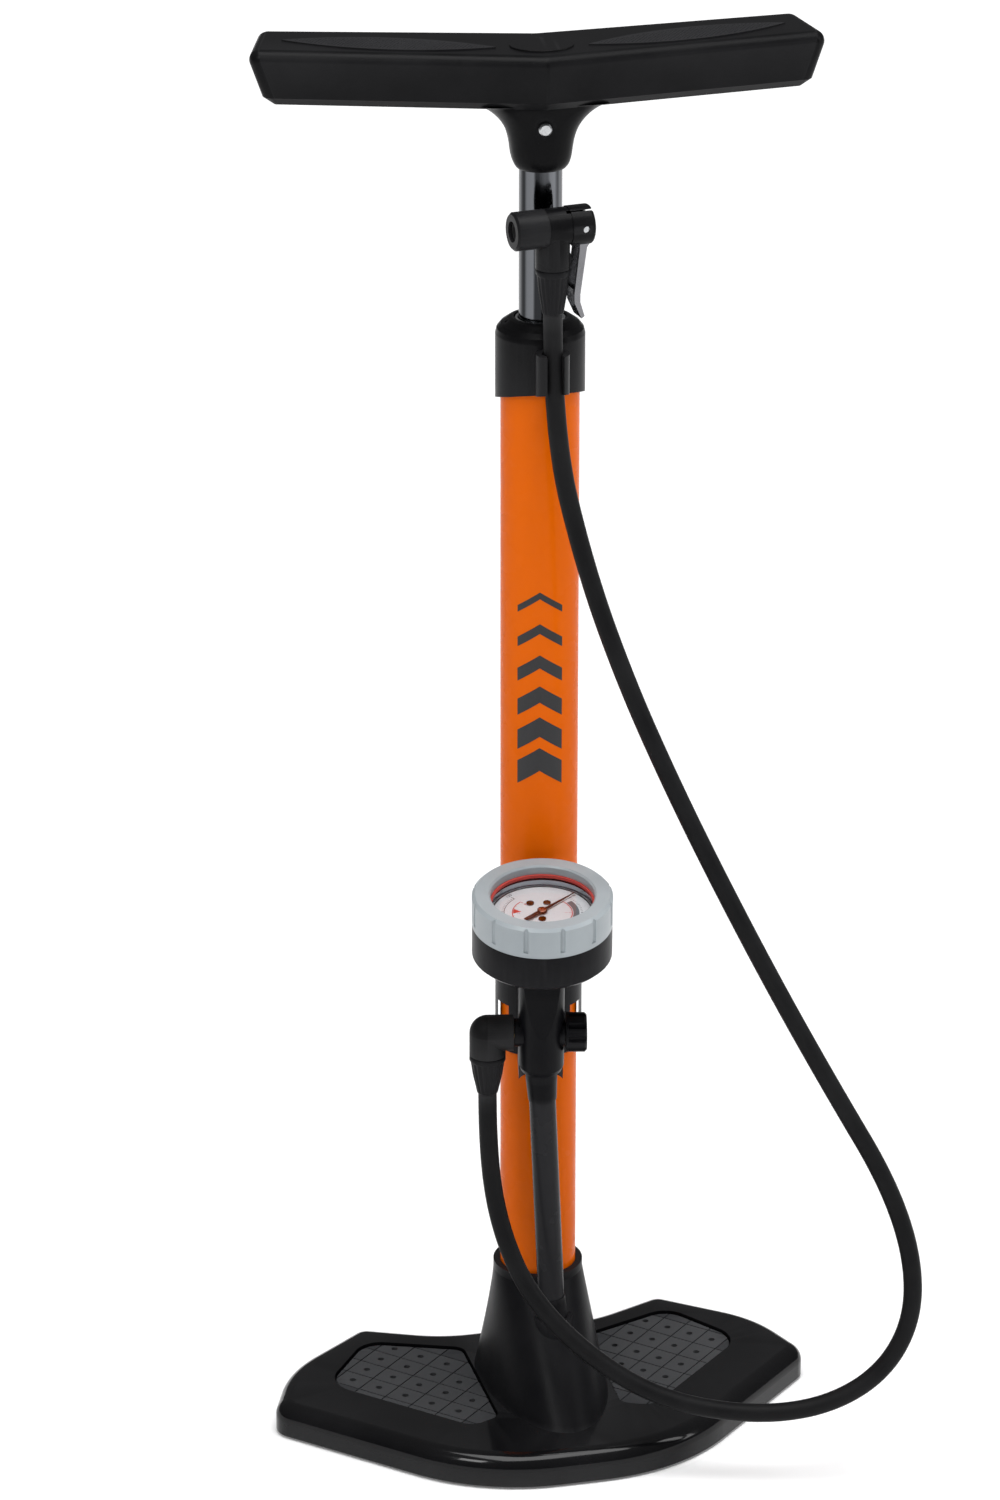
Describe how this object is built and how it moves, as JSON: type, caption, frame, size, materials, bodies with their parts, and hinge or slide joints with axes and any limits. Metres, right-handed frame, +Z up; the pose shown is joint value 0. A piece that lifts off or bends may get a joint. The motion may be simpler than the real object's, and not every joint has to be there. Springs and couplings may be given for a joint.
{
  "type": "floor pump",
  "caption": "Hand-worked floor pump: a steel barrel on a footplate with rubber treads, swept handle, tilted round pressure gauge and a looped hose with a lever valve head.",
  "frame": {"origin": "on the floor, on the barrel's axis, under the middle foot pad", "axes": "+Z up along the barrel, +X to the right seen from the front, -Y towards the front where the gauge and the valve head are"},
  "size_m": [0.2795, 0.1735, 0.6557],
  "materials": {
    "barrel_paint": "gloss paint over a steel tube",
    "base_gloss": "glossy moulded plate",
    "tread_rubber": "matte ribbed rubber",
    "boot_satin": "satin moulded",
    "cap_satin": "satin moulded",
    "handle_satin": "satin moulded",
    "grip_texture": "dotted grip texture",
    "chrome_plate": "polished plating",
    "steel": "zinc-plated steel",
    "black_moulding": "moulded nylon",
    "gauge_black": "satin moulded",
    "bezel_grey": "satin grey moulding",
    "gasket_red": "red sealing ring",
    "lens_clear": "clear lens",
    "can_steel": "bright drawn can",
    "dial_white": "printed dial",
    "needle_dark": "dark painted needle",
    "brass": "turned brass",
    "seal_rubber": "moulded rubber",
    "hose_rubber": "matte rubber",
    "pipe_black": "smooth tube",
    "head_black": "smooth moulding",
    "lever_steel": "plated pressed steel"
  },
  "bodies": {
    "pump": {"air_pipe": "pipe_black", "barrel": "barrel_paint", "base_feet": "seal_rubber", "base_plate": "base_gloss", "base_screws": "steel", "boot": "boot_satin", "bourdon_tube": "brass", "cap": "cap_satin", "dial_screws": "chrome_plate", "elbow": "hose_rubber", "foot_block": "black_moulding", "foot_o_ring": "seal_rubber", "gauge_bezel": "bezel_grey", "gauge_can": "can_steel", "gauge_clamp": "gauge_black", "gauge_cup": "gauge_black", "gauge_dial": "dial_white", "gauge_gasket": "gasket_red", "gauge_lens": "lens_clear", "gauge_movement": "brass", "gauge_stem": "brass", "guide_bush": "black_moulding", "head_body": "head_black", "head_cap": "head_black", "head_gasket": "seal_rubber", "hose": "hose_rubber", "hose_nipple": "brass", "lever_pin": "steel", "lower_sleeve": "hose_rubber", "pipe_collar_bottom": "gauge_black", "pipe_collar_top": "gauge_black", "stem_o_ring": "seal_rubber", "t_body": "gauge_black", "tread_left": "tread_rubber", "tread_right": "tread_rubber", "upper_sleeve": "hose_rubber", "valve_retainer": "brass"},
    "check_disc_body": {"check_disc": "seal_rubber"},
    "piston": {"piston_body": "black_moulding", "piston_cup": "seal_rubber", "piston_washer": "steel", "top_bumper": "seal_rubber"},
    "handle": {"rod": "chrome_plate", "handle_body": "handle_satin", "handle_end_left": "handle_satin", "handle_end_right": "handle_satin", "grip_left": "grip_texture", "grip_right": "grip_texture", "handle_badge": "handle_satin", "handle_screw": "steel"},
    "needle": {"gauge_needle": "needle_dark"},
    "bleed_knob": {"side_knob": "gauge_black", "knob_o_ring": "seal_rubber"},
    "valve_lever": {"lever": "lever_steel"},
    "valve_plunger": {"head_plunger": "brass"}
  },
  "joints": [
    {"name": "pump_stroke", "type": "slide", "parent": "pump", "child": "piston", "axis": [0, 0, 1], "range_m": [0, 0.4]},
    {"name": "handle_swivel", "type": "hinge", "parent": "piston", "child": "handle", "pos_m": [0, 0, 0.645], "axis": [0, 0, 1], "continuous": true},
    {"name": "check_lift", "type": "slide", "parent": "pump", "child": "check_disc_body", "axis": [0, 0, 1], "range_m": [0, 0.0023]},
    {"name": "needle_sweep", "type": "hinge", "parent": "pump", "child": "needle", "pos_m": [-0.01096, -0.05157, 0.27208], "axis": [0.0289, 0.1361, -0.9903], "range_deg": [0, 270], "stiffness_Nm_per_rad": 0.001},
    {"name": "knob_turn", "type": "hinge", "parent": "pump", "child": "bleed_knob", "pos_m": [-0.0091, -0.0428, 0.20831], "axis": [0.9781, -0.2079, 0], "range_deg": [0, 270]},
    {"name": "lever_flip", "type": "hinge", "parent": "pump", "child": "valve_lever", "pos_m": [0.01109, -0.02519, 0.581], "axis": [0.1323, -0.9912, 0], "range_deg": [0, 90]},
    {"name": "plunger_slide", "type": "slide", "parent": "pump", "child": "valve_plunger", "axis": [-0.9912, -0.1323, 0], "range_m": [0, 0.003]}
  ],
  "couplings": [
    {"joint": "plunger_slide", "follows": "lever_flip", "m_per_rad": 0.0019}
  ]
}
